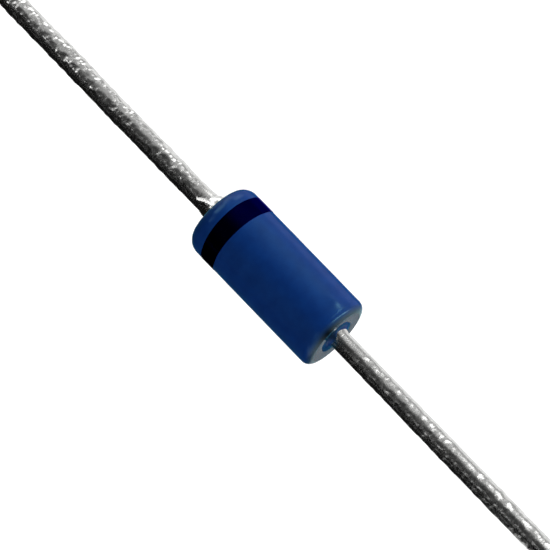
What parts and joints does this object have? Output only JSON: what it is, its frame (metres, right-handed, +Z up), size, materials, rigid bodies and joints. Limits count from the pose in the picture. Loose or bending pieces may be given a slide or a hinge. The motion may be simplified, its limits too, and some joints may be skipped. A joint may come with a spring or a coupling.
{
  "type": "zener diode",
  "caption": "Axial glass zener diode: blue lacquered cylindrical body with a dark cathode band and a straight tinned wire lead out of each end.",
  "frame": {"origin": "centre of the body, on its axis", "axes": "+X along the axis of the body towards the anode lead, so the banded cathode end is at -X; +Z up, square to the axis"},
  "size_m": [0.0546, 0.0018, 0.0018],
  "materials": {
    "sleeve_glass": "fire-polished grey-green glass",
    "blue_lacquer": "semi-gloss opaque blue lacquer",
    "band_ink": "dark navy ink",
    "tinned_wire": "rough hot-dipped tin",
    "solder": "bright solder",
    "stud_copper": "oxidised copper cladding",
    "silicon": "polished silicon",
    "silver": "plated silver"
  },
  "bodies": {
    "root": {"glass_sleeve": "sleeve_glass", "blue_coat": "blue_lacquer", "cathode_band": "band_ink", "anode_seal": "blue_lacquer", "cathode_solder": "solder", "cathode_lead": "tinned_wire", "anode_lead": "tinned_wire", "cathode_stud": "stud_copper", "anode_stud": "stud_copper", "silicon_die": "silicon", "silver_bump": "silver"}
  },
  "joints": []
}
